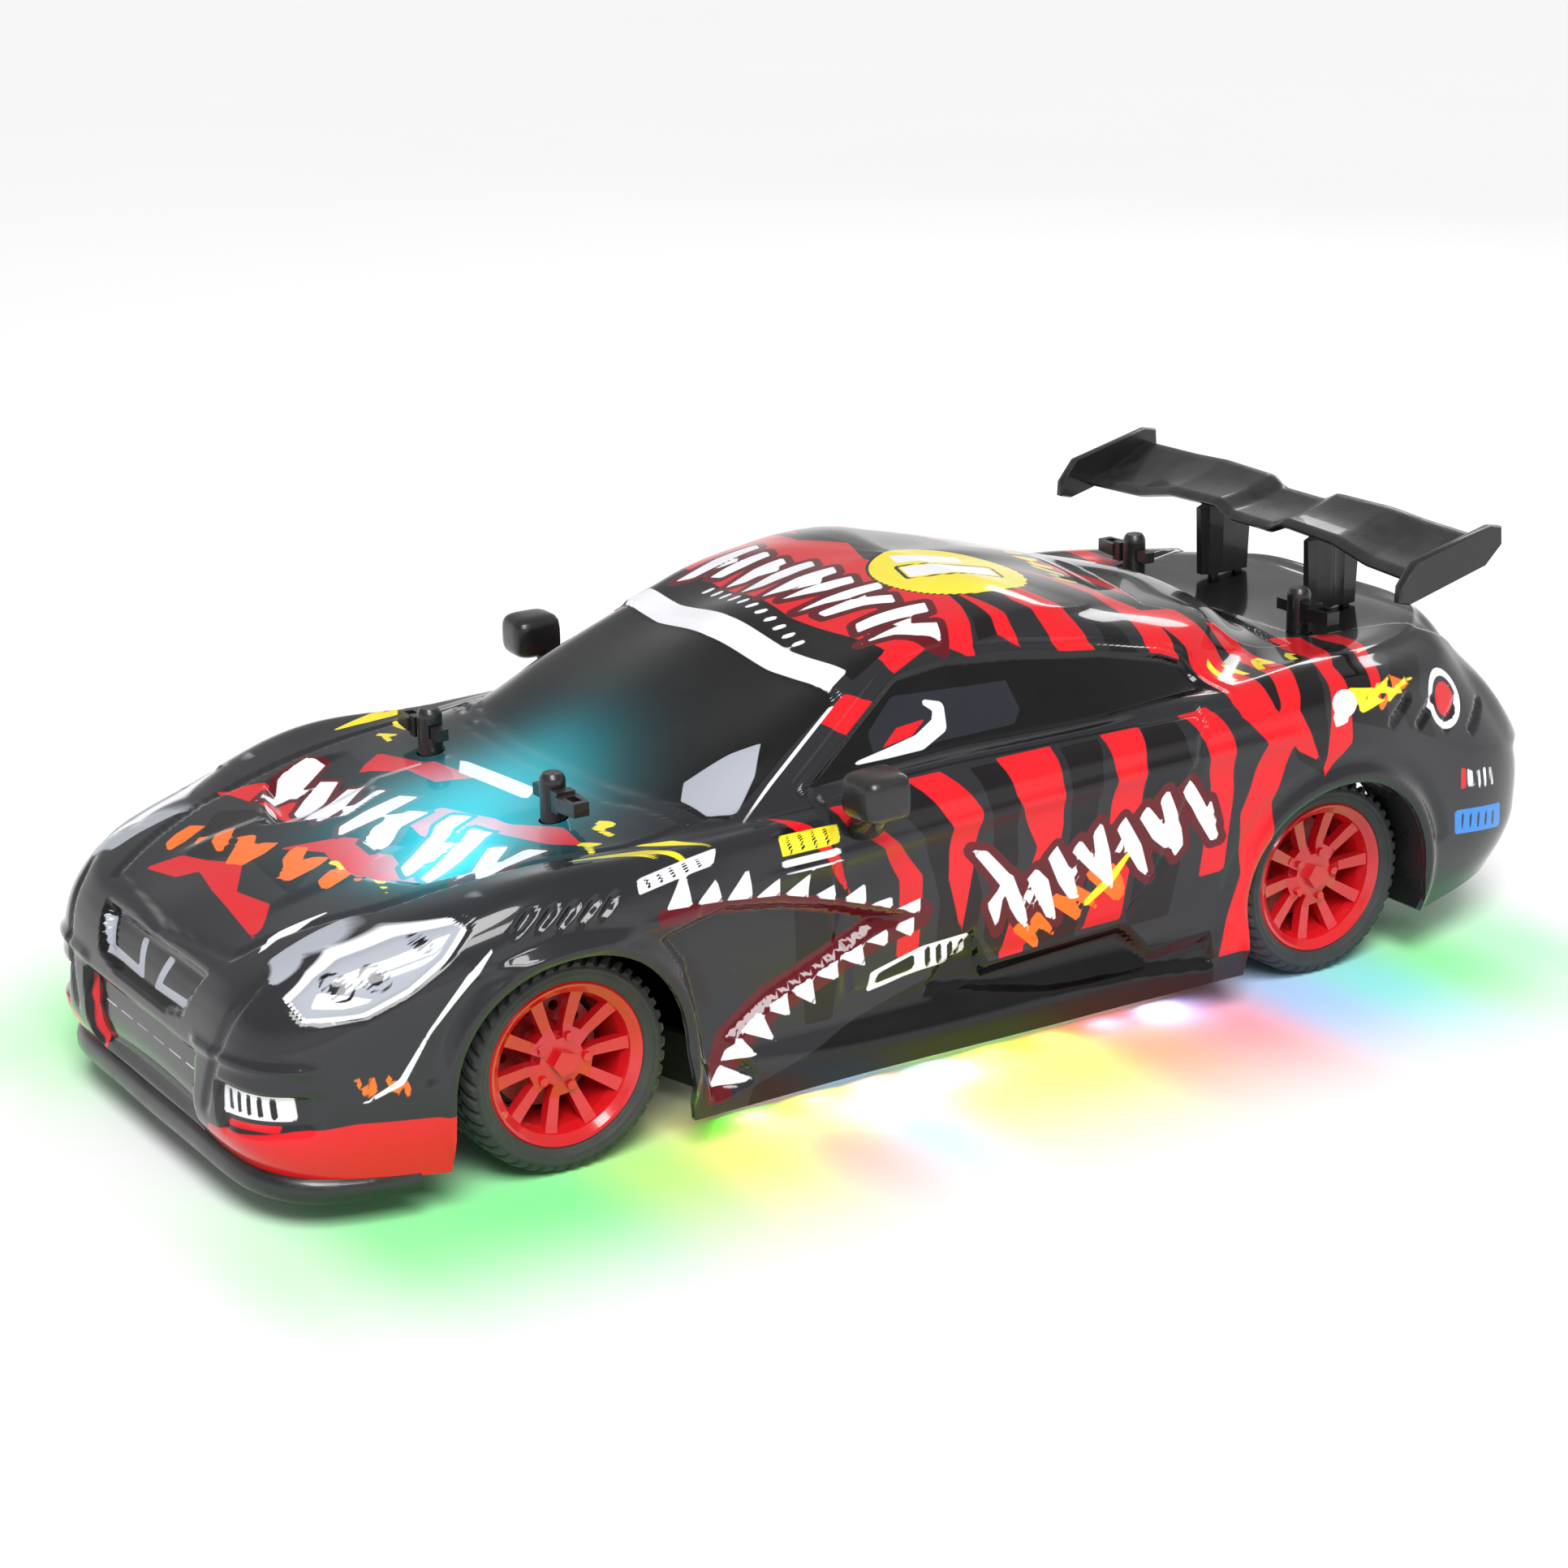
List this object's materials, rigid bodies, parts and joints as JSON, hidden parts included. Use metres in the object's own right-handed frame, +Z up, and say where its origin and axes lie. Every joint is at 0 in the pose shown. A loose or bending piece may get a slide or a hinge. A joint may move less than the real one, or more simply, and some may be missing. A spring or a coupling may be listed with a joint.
{
  "type": "radio controlled drift car",
  "caption": "Four wheel drive toy coupe with a thin striped shell on pinned body posts, rear wing, steered front wheels, gear driven axles and lamps under the floor.",
  "frame": {"origin": "on the ground under the middle of the car", "axes": "+X points forward, +Y to the left side of the car, +Z up"},
  "size_m": [0.3344, 0.1622, 0.1026],
  "materials": {
    "shell_paint": "glossy painted thin moulded shell with printed stripes",
    "trim_black": "fine grained black moulded plastic",
    "chassis_plastic": "filled black nylon",
    "battery_wrap": "shrink wrap film",
    "motor_can": "plated sheet steel",
    "steel": "ground steel",
    "brass": "turned brass",
    "gear_plastic": "natural acetal",
    "board_green": "solder mask",
    "lamp_lens": "clear lamp lens, lit",
    "rim_red": "red moulded plastic, satin gloss",
    "disc_red": "red moulded plastic",
    "tyre_rubber": "hard drift rubber",
    "lead_wire": "silicone insulated lead"
  },
  "bodies": {
    "chassis": {"body_shell": "shell_paint", "front_splitter": "trim_black", "rear_wing": "trim_black", "wing_strut_left": "trim_black", "wing_strut_right": "trim_black", "mirror_left": "trim_black", "mirror_right": "trim_black", "front_post_bridge": "trim_black", "rear_post_bridge": "trim_black", "chassis_tub": "chassis_plastic", "battery_cover": "chassis_plastic", "battery_pack": "battery_wrap", "front_gear_cover": "chassis_plastic", "rear_gear_cover": "chassis_plastic", "drive_motor": "motor_can", "shaft_bushes": "brass", "kingpins": "steel", "top_arm_plate": "chassis_plastic", "steering_servo": "chassis_plastic", "circuit_board": "board_green", "switch_housing": "motor_can", "led_strip_left": "lamp_lens", "led_strip_right": "lamp_lens", "hood_led": "lamp_lens", "chassis_screws": "steel", "motor_leads": "lead_wire"},
    "rear_drive": {"rear_axle": "steel", "rear_crown_gear": "gear_plastic", "rim_rear_left": "rim_red", "tyre_rear_left": "tyre_rubber", "disc_rear_left": "disc_red", "rim_rear_right": "rim_red", "tyre_rear_right": "tyre_rubber", "disc_rear_right": "disc_red"},
    "centre_drive": {"centre_shaft": "steel", "spur_gear": "gear_plastic", "front_bevel_pinion": "gear_plastic", "rear_bevel_pinion": "gear_plastic"},
    "motor_drive": {"motor_pinion": "brass"},
    "front_drive": {"front_axle": "steel", "front_crown_gear": "gear_plastic"},
    "dogbone_left": {"dogbone_left": "steel"},
    "dogbone_right": {"dogbone_right": "steel"},
    "knuckle_left": {"knuckle_left": "chassis_plastic"},
    "knuckle_right": {"knuckle_right": "chassis_plastic"},
    "front_wheel_left": {"stub_axle_left": "steel", "rim_front_left": "rim_red", "tyre_front_left": "tyre_rubber", "disc_front_left": "disc_red"},
    "front_wheel_right": {"stub_axle_right": "steel", "rim_front_right": "rim_red", "tyre_front_right": "tyre_rubber", "disc_front_right": "disc_red"},
    "rack": {"steering_rack": "chassis_plastic"},
    "horn": {"servo_horn": "gear_plastic"},
    "clip_front_left": {"clip_front_left": "trim_black"},
    "clip_front_right": {"clip_front_right": "trim_black"},
    "clip_rear_left": {"clip_rear_left": "trim_black"},
    "clip_rear_right": {"clip_rear_right": "trim_black"},
    "switch_knob": {"switch_knob": "trim_black"}
  },
  "joints": [
    {"name": "rear_drive_spin", "type": "hinge", "parent": "chassis", "child": "rear_drive", "pos_m": [-0.101, 0, 0.0235], "axis": [0, 1, 0], "continuous": true},
    {"name": "centre_shaft_spin", "type": "hinge", "parent": "chassis", "child": "centre_drive", "pos_m": [0, 0, 0.0235], "axis": [1, 0, 0], "continuous": true},
    {"name": "motor_spin", "type": "hinge", "parent": "chassis", "child": "motor_drive", "pos_m": [-0.06, -0.0168, 0.0235], "axis": [1, 0, 0], "continuous": true},
    {"name": "front_drive_spin", "type": "hinge", "parent": "chassis", "child": "front_drive", "pos_m": [0.0976, 0, 0.0235], "axis": [0, 1, 0], "continuous": true},
    {"name": "dogbone_left_spin", "type": "hinge", "parent": "chassis", "child": "dogbone_left", "pos_m": [0.0976, 0.025, 0.0235], "axis": [0, 1, 0], "continuous": true},
    {"name": "dogbone_right_spin", "type": "hinge", "parent": "chassis", "child": "dogbone_right", "pos_m": [0.0976, -0.025, 0.0235], "axis": [0, 1, 0], "continuous": true},
    {"name": "steer_left", "type": "hinge", "parent": "chassis", "child": "knuckle_left", "pos_m": [0.0976, 0.0295, 0.0235], "axis": [0, 0, 1], "range_deg": [-20, 20]},
    {"name": "steer_right", "type": "hinge", "parent": "chassis", "child": "knuckle_right", "pos_m": [0.0976, -0.0295, 0.0235], "axis": [0, 0, 1], "range_deg": [-20, 20]},
    {"name": "front_wheel_left_spin", "type": "hinge", "parent": "knuckle_left", "child": "front_wheel_left", "pos_m": [0.0976, 0.0295, 0.0235], "axis": [0, 1, 0], "continuous": true},
    {"name": "front_wheel_right_spin", "type": "hinge", "parent": "knuckle_right", "child": "front_wheel_right", "pos_m": [0.0976, -0.0295, 0.0235], "axis": [0, 1, 0], "continuous": true},
    {"name": "rack_slide", "type": "slide", "parent": "chassis", "child": "rack", "axis": [0, 1, 0], "range_m": [-0.0055, 0.0055]},
    {"name": "servo_turn", "type": "hinge", "parent": "chassis", "child": "horn", "pos_m": [0.065, 0, 0.0385], "axis": [0, 0, 1], "range_deg": [-19.85, 19.85]},
    {"name": "clip_front_left_pull", "type": "slide", "parent": "chassis", "child": "clip_front_left", "axis": [0, 1, 0], "range_m": [0, 0.0095]},
    {"name": "clip_front_right_pull", "type": "slide", "parent": "chassis", "child": "clip_front_right", "axis": [0, -1, 0], "range_m": [0, 0.0095]},
    {"name": "clip_rear_left_pull", "type": "slide", "parent": "chassis", "child": "clip_rear_left", "axis": [0, 1, 0], "range_m": [0, 0.0095]},
    {"name": "clip_rear_right_pull", "type": "slide", "parent": "chassis", "child": "clip_rear_right", "axis": [0, -1, 0], "range_m": [0, 0.0095]},
    {"name": "power_switch", "type": "slide", "parent": "chassis", "child": "switch_knob", "axis": [1, 0, 0], "range_m": [0, 0.003]}
  ],
  "couplings": [
    {"joint": "centre_shaft_spin", "follows": "rear_drive_spin", "ratio": -2.6},
    {"joint": "motor_spin", "follows": "rear_drive_spin", "ratio": 7.8},
    {"joint": "front_drive_spin", "follows": "rear_drive_spin", "ratio": 1},
    {"joint": "dogbone_left_spin", "follows": "rear_drive_spin", "ratio": 1},
    {"joint": "dogbone_right_spin", "follows": "rear_drive_spin", "ratio": 1},
    {"joint": "front_wheel_left_spin", "follows": "rear_drive_spin", "ratio": 1},
    {"joint": "front_wheel_right_spin", "follows": "rear_drive_spin", "ratio": 1},
    {"joint": "steer_right", "follows": "steer_left", "ratio": 1},
    {"joint": "rack_slide", "follows": "steer_left", "m_per_rad": -0.015677},
    {"joint": "servo_turn", "follows": "steer_left", "ratio": -0.9624}
  ]
}
